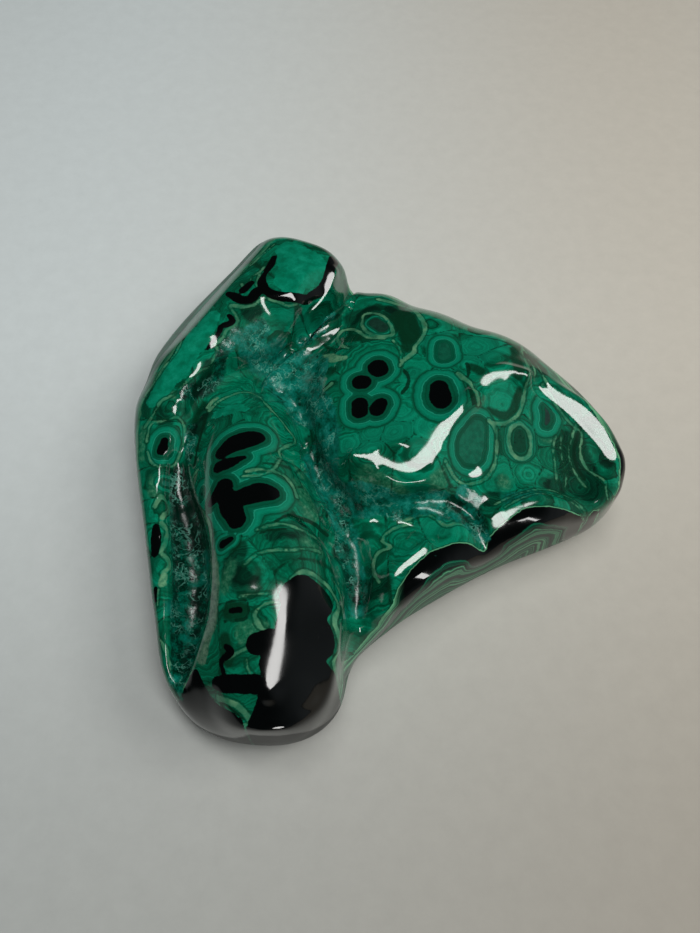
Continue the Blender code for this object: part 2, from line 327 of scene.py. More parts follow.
def distance_to(line, reach=8.0, closed=False):
    """How far each point of the skin is from a run of places, less the run's radius if any."""
    run = curved(line, closed)
    radius = run[:, 3] if run.shape[1] > 3 else np.zeros(len(run))
    away = np.full(len(points), FAR)
    margin = reach + radius.max()
    low = run[:, :3].min(0) - margin
    high = run[:, :3].max(0) + margin
    near = np.where(((points > low) & (points < high)).all(1))[0]
    place = points[near]
    best = np.full(len(near), FAR)
    if len(run) == 1:
        best = np.linalg.norm(place - run[0, :3], axis=1) - radius[0]
    ends = zip(run[:-1, :3], run[1:, :3], radius[:-1], radius[1:])
    for start, end, start_radius, end_radius in ends:
        along = end - start
        t = np.clip((place - start) @ along / max(along @ along, 1e-9), 0.0, 1.0)
        gap = np.linalg.norm(place - start - t[:, None] * along, axis=1)
        best = np.minimum(best, gap - start_radius - t * (end_radius - start_radius))
    away[near] = best
    return np.minimum(away, FAR)


def nearest_of(lines, **settings):
    """How far each point of the skin is from the nearest of several runs."""
    away = np.full(len(points), FAR)
    for line in lines:
        away = np.minimum(away, distance_to(line, **settings))
    return away


# Cracks between the lobes: x, y, half width
CRACKS = [
    [(-22.5, 12.5, 0.3), (-23.0, 15.5, 0.7), (-21.5, 18.5, 0.5), (-19.0, 21.5, 0.5),
     (-17.0, 24.0, 0.5), (-14.0, 24.5, 0.4), (-12.0, 25.5, 0.6), (-9.5, 27.0, 0.7),
     (-7.0, 29.0, 0.5), (-5.0, 32.0, 0.4)],
    [(-13.5, 1.5, 0.3), (-13.5, -2.5, 0.7), (-13.0, -5.5, 0.5), (-12.0, -7.5, 0.2)],
]
# Hollows with their natural crust: x, y, radius
CRUSTS = [
    [(-14.4, 25.8, 1.3), (-11.2, 26.4, 1.3), (-8.6, 28.2, 1.0)],
    [(-22.5, 23.5, 2.2), (-24.0, 20.0, 2.8), (-20.5, 20.5, 2.0)],
    [(-26.5, 22.0, 1.0), (-28.4, 18.6, 1.2), (-30.4, 15.0, 1.4), (-33.0, 11.5, 1.5),
     (-35.5, 8.5, 1.2)],
    [(-34.0, 2.5, 1.2), (-34.0, -3.5, 1.2)],
    [(-20.0, 16.0, 2.8), (-16.0, 19.5, 3.4), (-12.5, 17.5, 4.0), (-13.5, 11.0, 4.2),
     (-10.8, 5.0, 3.8), (-10.4, -1.5, 3.6), (-8.0, -7.0, 3.6), (-4.0, -11.0, 3.4),
     (1.5, -12.2, 2.8), (6.5, -12.5, 2.2), (10.5, -12.0, 2.0)],
    [(-8.0, -12.0, 2.2), (-6.5, -17.0, 2.4), (-5.0, -22.0, 2.0), (-3.5, -29.0, 2.2)],
    [(12.0, -14.0, 2.0), (15.5, -15.0, 2.6), (17.5, -18.5, 1.2)],
    [(15.5, -12.0, 2.2), (14.5, -10.5, 1.2)],
    [(-36.0, -6.0, 1.6), (-35.0, -12.0, 2.6), (-33.5, -20.0, 3.2), (-32.5, -28.0, 3.4),
     (-32.5, -35.0, 3.0), (-32.0, -41.0, 2.0), (-31.8, -45.0, 0.8)],
]

CRACK_DEPTH = 1.1
NEEDLE_SIZE, NEEDLE_HEIGHT = 1.3, 0.25
PIT_SIZE, PIT_DEPTH = 2.6, 0.2


def crust_share():
    """How much of the natural crust each point keeps: 1 well inside a hollow and 0 outside."""
    return soft_step(nearest_of(CRUSTS), 1.0, -0.8)


def crust_relief(texture, size, strength):
    """Relief in the crusts alone, from a texture whose lumps have the size."""
    texture.noise_scale = size * MM
    worked("DISPLACE", vertex_group="crusts", texture=texture, texture_coords="LOCAL",
           strength=strength * MM)


weighted("cracks", soft_step(nearest_of(CRACKS), 0.7, -0.5))
weighted("crusts", crust_share())
worked("DISPLACE", vertex_group="cracks", strength=-CRACK_DEPTH * MM, mid_level=0.0)
needles = bpy.data.textures.new("crust_needles", "CLOUDS")
needles.noise_depth = 2
crust_relief(needles, NEEDLE_SIZE, NEEDLE_HEIGHT)
crust_relief(bpy.data.textures.new("crust_pits", "VORONOI"), PIT_SIZE, -PIT_DEPTH)
stone.vertex_groups.clear()

points = skin_points()
points[:, 2] = np.maximum(points[:, 2], 0.0)
moved_to(points)
stone.data.shade_smooth()

# -------------------------------------------------------------------------------------------------
# What the polish laid open
# Malachite grows in shells. Cut across, a thin stalactite is an eye with a black or dark core, a
# lobe is a set of nested bands, and the last shells show as pale contour lines. Each is kept as a
# distance over the skin.

# Black cores of the eyes: places along each core with its radius; then how wide its rings are
EYES = [
    ([[(0.0, 13.8, 1.9), (0.3, 13.2, 1.8)], [(-3.2, 10.6, 1.65), (-2.7, 10.5, 1.6)]], 2.7),
    ([[(-3.4, 5.6, 1.5), (-3.3, 4.2, 1.55)], [(0.4, 5.2, 1.3), (-0.2, 4.2, 1.5)]], 2.7),
    ([[(10.9, 7.6, 1.7), (11.0, 5.2, 2.0), (11.2, 4.4, 1.7)]], 3.2),
    ([[(-38.5, -0.8, 0.8), (-38.7, -2.6, 1.05)]], 2.6),
    ([[(-27.0, -5.6, 1.5), (-25.2, -4.2, 2.0), (-22.8, -3.2, 2.0), (-21.3, -2.7, 1.5)],
      [(-27.4, -8.6, 1.2), (-25.2, -8.2, 1.1), (-23.0, -7.4, 0.4)]], 2.9),
    ([[(-26.2, -13.2, 1.9), (-28.3, -15.2, 0.8)],
      [(-26.0, -14.0, 1.5), (-24.8, -16.6, 2.0), (-23.3, -19.6, 1.6)],
      [(-23.5, -15.8, 1.6), (-20.0, -14.6, 1.9), (-18.0, -14.6, 1.4)],
      [(-30.4, -12.4, 0.4)]], 3.0),
    ([[(-25.4, -23.4, 0.8), (-24.0, -22.9, 0.5)]], 1.2),
]
# Eyes whose core is green: core places with radius; ring width; how dark the core is
GREEN_EYES = [
    ([[(17.4, 0.2, 1.6), (16.4, -2.4, 2.5), (16.2, -3.8, 2.4)]], 2.4, 0.45),
    ([[(12.5, 17.6, 1.1), (12.5, 15.4, 1.3)]], 2.2, 0.55),
    ([[(25.4, 0.3, 1.0), (25.4, -1.8, 1.2)]], 2.2, 0.85),
    ([[(-0.4, 25.8, 1.2), (1.2, 23.8, 1.2)]], 1.1, 0.95),
    ([[(30.4, 5.4, 0.3), (30.9, 4.0, 0.6), (30.5, 2.6, 0.4)]], 2.6, 1.0),
    ([[(-38.0, -8.5, 0.5), (-36.5, -6.8, 0.4)]], 1.3, 0.1),
    ([[(-33.0, -22.4, 0.7), (-33.0, -24.2, 0.7)]], 1.6, 0.2),
]
# Pale contour lines: half width, then places
PALE_LINES = [
    (0.16, [(-15.5, 28.2), (-17.0, 27.8), (-18.0, 28.0), (-20.0, 28.7), (-22.0, 29.0),
            (-23.5, 27.5), (-25.0, 27.0), (-26.0, 26.7), (-27.0, 27.2), (-28.2, 27.5),
            (-28.0, 26.3), (-27.0, 25.0), (-26.5, 23.8), (-27.2, 22.5), (-28.5, 21.8),
            (-29.2, 20.0), (-30.5, 18.5), (-30.0, 17.4), (-31.0, 15.5), (-31.7, 14.3),
            (-33.0, 13.3), (-34.2, 12.2), (-36.3, 9.7), (-37.5, 8.5), (-39.0, 7.8), (-40.0, 7.0),
            (-41.0, 5.0), (-42.5, 2.5)]),
    (0.22, [(-28.2, 27.5), (-26.8, 26.9), (-25.0, 27.1), (-23.5, 27.7), (-22.0, 29.0),
            (-20.0, 28.7)]),
    (0.13, [(-26.5, 33.2), (-25.5, 31.2), (-25.0, 32.5), (-24.5, 35.0), (-23.0, 36.0),
            (-22.3, 37.5)]),
    (0.12, [(-23.0, 35.2), (-23.5, 32.5), (-22.0, 30.5), (-21.5, 29.0)]),
    (0.17, [(-31.0, 6.0), (-29.5, 8.0), (-27.5, 9.6), (-26.0, 10.8), (-24.0, 11.3), (-22.5, 10.2),
            (-21.0, 7.8), (-19.5, 5.8), (-18.5, 4.8), (-17.5, 3.5), (-16.5, 2.2), (-15.6, 1.3),
            (-15.0, -0.2), (-15.7, -2.0), (-17.0, -3.8), (-17.5, -4.6), (-17.0, -5.6)]),
    (0.13, [(-41.8, -0.5), (-41.7, 1.5), (-41.2, 3.0), (-39.5, 3.2), (-37.5, 3.7), (-36.5, 4.0),
            (-35.4, 2.8), (-35.3, 0.0), (-36.0, -2.7), (-37.3, -4.8), (-38.8, -6.0), (-40.5, -4.8),
            (-41.5, -2.5)]),
    (0.22, [(-2.6, 27.5), (-2.5, 28.8), (-1.8, 29.2), (0.0, 28.6), (1.2, 27.6), (2.2, 25.8),
            (3.0, 23.5), (3.1, 21.7), (2.0, 21.4), (0.0, 21.8), (-1.7, 23.2), (-2.7, 25.6),
            (-2.6, 27.5)]),
    (0.22, [(1.5, 21.0), (-0.5, 21.4), (-2.0, 22.0), (-3.5, 24.2), (-5.0, 26.0), (-6.5, 26.4),
            (-7.5, 25.2), (-7.2, 23.0), (-6.4, 21.2), (-5.4, 20.0)]),
    (0.28, [(-8.5, 11.2), (-10.0, 10.2), (-10.8, 9.0), (-11.2, 7.3)]),
    (0.30, [(0.5, 33.0), (3.5, 31.8), (5.0, 31.0), (7.0, 29.5), (8.2, 27.0), (9.0, 24.5),
            (9.2, 22.2), (8.6, 20.2), (7.5, 18.7), (7.0, 17.8), (6.9, 16.6), (5.6, 15.6),
            (4.6, 14.6), (4.3, 13.6)]),
    (0.12, [(3.0, 20.2), (4.0, 18.6), (4.5, 16.5), (4.3, 14.0)]),
    (0.20, [(11.5, -6.3), (12.3, -7.4), (13.5, -8.6), (15.6, -9.1), (18.5, -8.2), (20.4, -5.7),
            (21.0, -2.6), (20.9, 0.6), (19.8, 1.8)]),
    (0.20, [(28.0, 20.5), (27.2, 16.0), (27.5, 12.5), (27.4, 10.2), (26.6, 8.0), (26.2, 6.0),
            (25.5, 4.0), (24.0, 2.6), (22.3, 1.7), (20.2, 1.6)]),
    (0.15, [(30.5, 10.5), (32.0, 8.8), (33.2, 6.6), (34.5, 4.6), (35.8, 3.1), (37.2, 2.0),
            (37.1, 0.4), (36.6, -1.8), (37.0, -3.5), (38.0, -5.0), (39.6, -6.4), (40.5, -7.7),
            (40.1, -9.8), (40.6, -11.6)]),
    (0.12, [(20.0, -13.0), (23.0, -11.6), (26.0, -10.5), (28.5, -9.6), (31.0, -9.6), (33.5, -11.0),
            (35.0, -12.4), (36.5, -13.6)]),
    (0.10, [(21.5, -14.0), (24.0, -12.6), (28.0, -11.2), (31.5, -11.3), (34.0, -12.4),
            (36.0, -13.8)]),
    (0.22, [(5.5, -15.5), (3.5, -16.0), (1.3, -17.0), (0.5, -18.5), (1.9, -19.8), (0.0, -20.6),
            (-1.0, -22.2), (-1.1, -24.5), (-0.2, -26.6)]),
    (0.11, [(3.5, -15.2), (6.0, -14.5), (8.5, -14.5), (10.0, -15.4), (11.5, -16.8), (13.5, -16.4),
            (15.5, -17.5), (18.0, -19.3)]),
    (0.16, [(-31.8, -6.8), (-33.0, -8.0), (-32.5, -11.0), (-31.0, -14.0), (-29.2, -17.0),
            (-27.9, -20.0), (-27.4, -24.5)]),
    (0.12, [(-23.0, -11.4), (-20.0, -11.0), (-18.0, -9.5), (-17.0, -6.6)]),
    (0.17, [(-22.5, -10.4), (-20.0, -9.9), (-18.0, -10.0), (-16.0, -10.6), (-14.6, -12.4),
            (-14.0, -14.2)]),
    (0.15, [(-20.0, -21.6), (-18.0, -20.8), (-16.0, -20.3), (-14.0, -20.5), (-12.0, -21.0),
            (-10.3, -21.4), (-9.0, -22.2), (-8.5, -24.0), (-7.7, -26.0), (-7.0, -27.6),
            (-6.8, -29.0)]),
    (0.10, [(-21.5, -27.5), (-20.0, -26.0), (-18.5, -25.4), (-16.5, -25.0), (-14.5, -24.9),
            (-12.5, -24.2), (-10.0, -23.6)]),
    (0.30, [(-39.0, -13.2), (-38.2, -11.2), (-37.4, -11.7), (-37.0, -13.6), (-37.5, -15.2)]),
    (0.28, [(-37.6, -16.2), (-36.6, -17.2), (-36.5, -19.4), (-37.0, -21.6)]),
    (0.30, [(-36.6, -22.0), (-35.6, -23.0), (-35.5, -24.4), (-36.3, -25.4)]),
    (0.12, [(-36.6, -28.3), (-36.5, -29.5), (-36.5, -30.8)]),
    (0.15, [(-35.6, -36.3), (-34.1, -38.5), (-33.5, -40.2), (-33.0, -42.2), (-32.4, -44.5),
            (-31.6, -46.2)]),
    (0.13, [(-31.6, -46.2), (-31.0, -44.5), (-30.1, -43.0), (-29.5, -42.4), (-28.6, -44.0),
            (-27.5, -45.2), (-26.0, -46.4), (-24.5, -47.6)]),
    (0.22, [(-23.2, -41.4), (-21.0, -40.4), (-18.2, -39.6), (-16.0, -39.0)]),
    (0.18, [(-16.0, -33.5), (-18.0, -33.9), (-19.5, -35.1), (-18.7, -37.0), (-17.0, -38.3)]),
    (0.34, [(14.5, 10.5), (15.5, 9.0), (16.5, 8.0), (17.0, 5.5), (17.6, 3.4)]),
    (0.30, [(25.4, 2.3), (27.0, 1.2), (27.5, -1.2), (26.8, -3.4), (25.2, -4.0), (23.8, -3.0),
            (23.3, -1.0), (23.9, 1.2), (25.4, 2.3)]),
    (0.10, [(-20.5, 44.5), (-22.5, 42.0), (-27.5, 36.0), (-31.5, 30.5), (-34.0, 26.0),
            (-36.5, 21.5), (-38.0, 17.0), (-40.0, 14.5), (-41.5, 12.0), (-43.5, 9.5)]),
    (0.14, [(-20.5, -42.0), (-20.0, -43.5), (-18.5, -45.0), (-18.0, -46.0)]),
    (0.40, [(-24.8, -46.6), (-22.0, -47.8), (-20.5, -48.9), (-19.7, -49.8)]),
    (0.45, [(-31.0, -47.0), (-28.5, -48.5), (-26.5, -49.5), (-24.0, -50.5)]),
    (0.30, [(-14.0, -30.0), (-12.6, -28.4), (-11.0, -28.3), (-9.6, -28.9), (-8.4, -29.6),
            (-7.2, -31.2), (-6.9, -33.0), (-7.5, -35.4), (-6.9, -37.2), (-6.8, -39.4),
            (-7.6, -41.4), (-6.8, -42.8)]),
    (0.20, [(-7.9, -27.5), (-6.6, -29.5), (-6.2, -33.5), (-6.2, -38.0), (-6.3, -41.5)]),
    (0.12, [(27.8, 18.5), (29.0, 15.5), (30.5, 12.0), (32.0, 10.0)]),
    (0.10, [(26.8, 17.0), (28.2, 14.5), (29.0, 11.5)]),
    (0.14, [(36.4, 3.4), (35.4, 1.0), (34.6, -1.5), (34.8, -4.0), (36.0, -6.5), (37.4, -8.4)]),
    (0.09, [(33.6, 1.6), (33.0, -0.8), (33.2, -3.4), (33.8, -6.0), (33.4, -8.6)]),
    (0.09, [(32.2, 0.6), (31.6, -1.6), (31.8, -4.4), (32.0, -7.4)]),
    (0.10, [(-22.0, -32.5), (-19.0, -32.3), (-16.8, -32.0)]),
]
# Grey-green seams, wider and duller: half width, then places
GREY_SEAMS = [
    (0.55, [(-32.2, -7.6), (-32.6, -9.6), (-31.8, -12.0), (-31.0, -14.0), (-29.3, -17.0),
            (-27.9, -20.0), (-27.4, -24.5)]),
    (1.00, [(-27.3, -24.5), (-26.6, -27.0), (-26.2, -30.0), (-26.2, -33.0), (-26.3, -35.5),
            (-27.2, -38.0), (-27.8, -40.5)]),
]
# Thin dark outlines: half width, then places
DARK_LINES = [
    (0.30, [(-17.0, -20.0), (-15.0, -18.2), (-13.0, -17.6), (-11.0, -17.6), (-9.0, -18.2)]),
    (0.25, [(-13.0, -7.2), (-11.0, -5.6), (-9.6, -8.0), (-9.0, -11.0), (-9.2, -14.5)]),
    (0.35, [(-22.5, -10.9), (-20.0, -10.4), (-18.0, -10.4), (-15.8, -11.2)]),
    (0.25, [(-23.5, -22.4), (-21.0, -22.4), (-18.5, -21.8), (-15.5, -21.2)]),
    (0.30, [(-31.6, 4.5), (-32.0, 1.0), (-32.4, -2.5), (-32.6, -5.5)]),
    (0.45, [(14.0, 9.8), (15.0, 8.2), (15.9, 7.0), (16.3, 5.0), (16.8, 3.0)]),
    (0.35, [(16.3, 12.8), (16.4, 10.6), (16.0, 9.4)]),
    (0.30, [(4.4, 12.9), (5.6, 11.0), (5.3, 8.6), (4.2, 7.0)]),
    (0.20, [(-24.0, -33.2), (-20.9, -33.2), (-20.8, -35.8), (-24.2, -36.0)]),
    (0.35, [(26.9, 18.8), (28.4, 15.6), (30.0, 12.4)]),
    (0.35, [(37.2, 2.8), (36.2, 0.6), (35.5, -1.5), (35.7, -4.0), (37.0, -6.6)]),
    (0.20, [(-24.5, -46.9), (-22.4, -48.4), (-20.8, -49.6)]),
]
# Pale and bright patches: x, y, radius
PALE_PATCHES = [
    [(-31.4, 7.0, 0.5), (-30.8, 8.3, 0.55), (-30.0, 9.0, 0.4)],
    [(-10.6, 20.2, 1.0), (-9.2, 19.2, 1.1), (-7.6, 17.6, 0.9), (-6.0, 17.4, 0.5)],
    [(-36.0, -25.8, 0.6), (-36.1, -27.3, 0.6)],
]
MINT_PATCHES = [
    [(-17.5, 42.5, 2.6), (-15.5, 39.0, 4.3), (-13.5, 37.0, 4.2), (-16.5, 33.5, 3.6),
     (-16.0, 32.0, 2.4)],
    [(-31.5, 25.0, 1.6), (-32.5, 22.5, 2.2), (-34.8, 18.5, 2.4), (-37.0, 14.5, 2.4),
     (-39.3, 10.8, 2.0), (-41.3, 7.5, 1.5)],
    [(-29.4, 4.6, 1.1), (-27.5, 4.9, 1.3), (-25.5, 5.4, 1.0), (-24.2, 4.9, 0.6)],
]
# Black beyond the eyes: x, y, radius
BLACKS = [
    [(-20.4, 40.0, 0.7), (-21.0, 37.5, 0.9), (-22.0, 35.0, 0.6), (-22.4, 32.8, 1.0),
     (-21.3, 30.6, 1.0), (-19.4, 29.5, 1.0), (-17.0, 29.1, 1.0), (-14.2, 29.5, 1.0),
     (-12.5, 30.9, 1.0), (-10.6, 33.2, 1.1), (-9.2, 36.3, 1.0), (-8.3, 40.5, 1.2)],
    [(-23.3, 30.4, 1.2), (-24.6, 28.6, 1.0), (-26.5, 28.8, 1.1), (-27.8, 30.0, 1.0),
     (-29.0, 31.0, 0.7)],
    [(-26.0, 31.2, 1.0), (-24.6, 33.0, 0.8)],
    [(-28.3, 24.8, 0.5), (-27.5, 23.6, 0.6), (-28.6, 22.7, 0.6), (-29.6, 22.3, 0.6),
     (-30.0, 20.8, 0.5), (-31.0, 19.3, 0.4), (-32.0, 17.6, 0.3)],
    [(-38.4, -17.0, 0.7), (-38.1, -19.5, 1.0), (-38.0, -21.8, 0.7)],
    [(-37.2, -28.0, 0.4), (-37.0, -30.0, 0.4)],
    [(-23.2, -34.5, 0.5), (-21.8, -34.5, 0.5)],
    [(-23.8, -39.6, 0.5), (-23.0, -40.6, 0.7), (-24.4, -41.6, 0.5), (-24.0, -43.2, 0.4)],
    [(-19.0, -39.6, 1.7), (-17.0, -39.2, 1.8)],
    [(-25.2, -44.5, 0.9), (-23.6, -44.9, 1.4), (-21.6, -45.1, 1.4), (-19.0, -45.3, 1.5)],
]
# The black cap on the finger's tip and the black toe beside it: outlines that run on down the wall
BLACK_CAP = [
    (-15.0, -30.6), (-13.2, -29.2), (-11.5, -29.0), (-10.2, -29.6), (-8.9, -30.5), (-8.0, -31.6),
    (-7.7, -32.8), (-7.9, -34.0), (-8.7, -35.3), (-8.1, -36.2), (-7.5, -37.6), (-7.4, -39.2),
    (-7.9, -40.4), (-8.7, -41.3), (-7.6, -42.3), (-6.9, -43.6), (-6.4, -45.5), (-5.0, -49.0),
    (-12.0, -55.0), (-20.5, -55.0), (-20.4, -50.6), (-19.4, -48.6), (-18.6, -46.8), (-18.0, -44.6),
    (-18.6, -42.6), (-18.2, -40.6), (-16.6, -38.6), (-16.2, -36.4), (-15.6, -34.0), (-15.9, -32.2),
]
BLACK_TOE = [
    (-29.9, -42.9), (-28.6, -41.9), (-27.6, -43.6), (-26.3, -45.8), (-24.6, -47.5), (-22.6, -48.6),
    (-20.9, -49.8), (-20.3, -55.0), (-31.0, -55.0), (-37.0, -48.0), (-33.0, -46.2), (-31.2, -44.8),
]
# Dark green: x, y, radius
DARKS = [
    [(-5.6, 23.2, 0.9), (-3.6, 22.3, 0.9)],
    [(-10.0, 15.2, 0.9), (-8.6, 14.6, 1.0)],
    [(5.0, 26.5, 2.2), (6.3, 22.0, 1.8), (5.6, 18.0, 1.0)],
    [(26.0, 17.5, 0.8), (25.4, 12.0, 1.0), (25.2, 9.5, 0.9)],
    [(25.4, 7.5, 0.6), (24.4, 4.5, 0.7), (22.5, 3.2, 0.6), (19.5, 3.4, 0.5)],
    [(17.0, 12.0, 0.6), (18.5, 10.5, 0.9)],
    [(-23.2, -34.5, 1.4), (-21.8, -34.5, 1.2)],
    [(-24.0, -38.5, 0.9), (-23.4, -41.6, 1.0)],
    [(-25.4, -17.8, 0.8), (-23.6, -23.4, 1.4)],
    [(-33.4, 4.4, 0.6), (-32.6, 9.0, 0.4)],
]
# Broad tones: x, y, radius. Bright, teal and olive are tones that the polish laid open; deep is
# darker green, laid mostly over the valleys, gullies and the pocket
TONES = {
    "deep": [
        [(35.0, -1.0, 3.0), (36.5, -6.5, 3.4), (38.0, -9.5, 2.5)], [(31.5, -8.5, 2.0)],
        [(41.5, -3.0, 1.5)], [(13.0, -12.0, 1.4), (15.5, -13.5, 2.0), (17.5, -16.5, 1.5)],
        [(19.5, -12.0, 1.6)], [(-7.0, -10.5, 1.6), (-6.0, -13.5, 1.6)],
        [(-6.5, -20.0, 1.8), (-4.0, -27.5, 1.8)],
        [(-36.0, -6.0, 2.2), (-34.5, -9.0, 2.6), (-33.0, -14.0, 2.8), (-31.5, -18.5, 2.0)],
        [(-30.5, -28.0, 1.6), (-29.0, -32.0, 1.4)], [(-32.6, 2.0, 1.4), (-32.2, 7.0, 1.2)],
        [(-24.0, 26.0, 2.0)], [(-22.5, -25.0, 1.4), (-23.5, -28.5, 1.8), (-20.5, -31.0, 2.0)],
        [(-13.0, -19.0, 1.0)], [(-17.5, -22.3, 0.8), (-13.0, -21.8, 0.8)],
        [(-34.0, 10.5, 1.6), (-31.5, 14.5, 1.4)],
        [(5.5, 25.5, 2.4), (6.5, 21.0, 2.0), (3.4, 29.0, 2.0)],
        [(-0.5, 29.5, 1.6), (-4.5, 29.0, 1.6)], [(-7.5, 30.5, 1.6)],
        [(30.5, 13.5, 1.4), (28.0, 16.5, 1.0)], [(-3.0, -27.0, 2.4), (0.5, -27.5, 1.5)],
        [(-12.5, 3.0, 1.0), (-10.5, -3.0, 1.0)], [(-38.5, 2.0, 1.2), (-40.0, 5.5, 0.8)],
    ],
    "teal": [
        [(-20.0, 22.0, 3.0), (-18.0, 18.5, 3.6), (-17.0, 14.0, 3.6), (-14.0, 17.0, 3.4),
         (-13.0, 12.0, 3.4), (-11.0, 6.5, 3.2), (-9.5, 0.5, 3.0), (-8.5, -5.0, 2.4)],
        [(-36.0, -14.0, 1.4)], [(-33.5, -21.5, 2.2), (-30.2, -22.0, 1.8)], [(-29.5, -27.0, 1.6)],
        [(-31.5, -35.5, 2.6), (-29.5, -39.5, 1.8), (-34.0, -31.0, 2.0)], [(-22.5, 19.5, 2.6)],
        [(27.0, -11.0, 1.6), (22.5, -12.0, 1.2)], [(-5.0, -17.0, 1.6)],
    ],
    "olive": [
        [(5.0, 32.0, 1.2), (10.5, 28.5, 1.4), (16.5, 26.0, 1.2), (22.0, 23.5, 1.2),
         (26.0, 20.0, 0.8)],
        [(-6.4, 40.0, 1.5), (-7.4, 36.5, 1.3)],
        [(10.0, -10.2, 1.6), (11.2, -8.2, 1.0), (8.6, -13.0, 1.4)],
        [(-2.0, -8.8, 2.0), (0.5, -11.0, 2.2), (4.0, -11.5, 1.2)],
        [(-13.5, -12.0, 1.9), (-12.2, -14.6, 2.1), (-11.0, -16.2, 1.5)],
        [(-14.8, -6.0, 1.2), (-13.4, -8.6, 0.9)], [(-12.5, -22.5, 0.7), (-9.7, -23.9, 0.8)],
        [(-21.0, -37.8, 1.6), (-18.4, -37.2, 1.3)], [(-24.5, -30.5, 1.2), (-23.5, -27.0, 0.8)],
        [(29.0, 6.5, 1.0), (28.2, 3.0, 1.0), (30.5, 0.5, 1.2)],
        [(-39.8, -8.4, 1.0), (-39.2, -11.0, 0.8)], [(-42.6, -3.0, 1.2), (-42.8, 2.0, 1.0)],
        [(22.2, -8.5, 1.2)], [(-37.6, 8.0, 0.8)], [(-5.8, -34.5, 1.0), (-5.8, -39.0, 0.9)],
        [(-24.5, 22.0, 1.4), (-22.6, 24.6, 1.2)],
    ],
    "bright": [
        [(-17.5, 26.8, 1.4), (-13.0, 28.0, 2.0), (-10.5, 30.5, 1.2)],
        [(-4.5, -3.5, 2.4), (1.5, -1.5, 2.6), (6.0, 0.0, 2.8), (7.5, -4.5, 2.0)],
        [(7.0, 10.5, 2.6)], [(17.5, 15.5, 4.0), (21.5, 18.5, 3.6)], [(22.0, 5.0, 2.4)],
        [(9.5, 19.5, 1.8)], [(12.8, 21.0, 1.6)], [(13.0, -8.0, 2.0)], [(-26.5, 8.0, 1.6)],
        [(-15.5, 3.0, 1.0)], [(-17.5, -13.0, 2.0), (-14.5, -13.0, 1.0)],
        [(-17.0, -17.5, 1.6), (-20.5, -19.0, 1.4)], [(2.5, -16.5, 1.0)], [(-39.0, -5.0, 0.8)],
        [(-2.0, -19.0, 1.0)], [(8.0, -16.5, 1.6), (13.5, -17.5, 1.4)],
    ],
}
# Where the rough growth of the shoulder turns into the ground wall, round the stone
SHOULDER = [
    (1.5, -31.0), (3.0, -27.8), (6.0, -24.0), (9.5, -21.4), (12.5, -20.2), (15.0, -20.0),
    (17.8, -20.8), (18.4, -19.0), (21.5, -16.3), (25.0, -14.2), (29.0, -14.0), (33.0, -14.0),
    (36.8, -13.8), (37.6, -12.8), (40.5, -12.0), (42.5, -9.0), (43.8, -4.0), (42.5, 0.5),
    (39.0, 6.5), (35.0, 12.5), (30.5, 19.5), (24.0, 25.0), (13.0, 29.5), (5.0, 33.0), (-3.0, 38.5),
    (-6.5, 42.0), (-12.0, 45.5), (-19.5, 48.0), (-22.5, 42.5), (-27.5, 36.2), (-31.5, 30.6),
    (-34.2, 26.0), (-36.5, 21.5), (-38.3, 17.5), (-41.5, 12.0), (-43.6, 8.0), (-43.8, 2.0),
    (-43.2, -4.0), (-41.8, -11.0), (-40.5, -18.0), (-38.8, -26.0), (-37.0, -34.0), (-34.0, -42.0),
    (-30.5, -47.0), (-24.0, -49.8), (-16.0, -50.2), (-10.5, -48.6), (-7.2, -44.5), (-6.2, -39.0),
    (-3.0, -35.0),
]
# Middles of the plain green lobes: x, y, radius
LOBES = [
    (6.5, 11.5, 3.0), (5.0, 7.3, 2.2), (4.0, 3.3, 2.6), (-1.0, -0.5, 2.2), (2.8, -1.5, 2.6),
    (-5.5, -2.5, 2.2), (-1.5, -5.0, 2.4), (9.0, -0.8, 2.6), (11.3, -4.0, 2.2), (7.0, -5.5, 2.8),
    (-8.5, 3.5, 1.8), (-7.6, 7.5, 2.2), (18.5, 18.0, 2.6), (21.5, 14.0, 2.4), (20.0, 23.5, 2.6),
    (10.5, 24.0, 2.4), (16.5, 12.5, 2.2), (22.2, 5.0, 3.6), (21.5, -8.0, 2.6), (26.5, -6.5, 2.8),
    (31.8, -3.0, 2.4), (31.0, 0.8, 2.4), (29.5, -8.0, 2.4), (36.0, -8.0, 3.0), (38.5, -2.0, 2.6),
    (41.0, -5.0, 2.4), (-2.0, -20.5, 3.4), (5.0, -20.0, 3.4), (10.5, -18.0, 3.0),
    (27.0, -12.5, 3.2), (-19.0, 23.0, 3.6), (-12.0, 29.0, 3.2), (-15.0, 26.0, 3.0),
    (-15.0, -24.5, 4.5), (-21.0, -29.0, 4.0), (-13.5, -27.5, 3.4), (-22.0, -38.0, 3.6),
    (-27.0, -38.0, 3.0), (-27.5, 9.5, 2.6), (-38.0, 6.0, 2.4), (-30.5, 1.0, 2.6),
    (-17.5, 2.0, 2.6), (-37.5, -13.5, 1.8), (-37.2, -19.0, 2.0), (-36.0, -24.0, 1.6),
]


def inside_of(loop):
    """Which points lie inside an outline, seen from above."""
    turns = np.zeros(len(points), int)
    for (x0, y0), (x1, y1) in zip(loop, loop[1:] + loop[:1]):
        spans = (points[:, 1] > y0) != (points[:, 1] > y1)
        rise = (y1 - y0) if y1 != y0 else 1e-9
        turns += spans & (points[:, 0] < x0 + (points[:, 1] - y0) * (x1 - x0) / rise)
    return turns % 2 == 1


def outline_distance(loop):
    """Distance to an outline, negative inside it."""
    away = distance_to(loop, reach=12.0, closed=True)
    return np.where(inside_of(loop), -away, away)


def lines_distance(lines):
    """Distance to the nearest of several lines, each less its half width."""
    away = np.full(len(points), FAR)
    for half_width, line in lines:
        away = np.minimum(away, distance_to(line) - half_width)
    return away


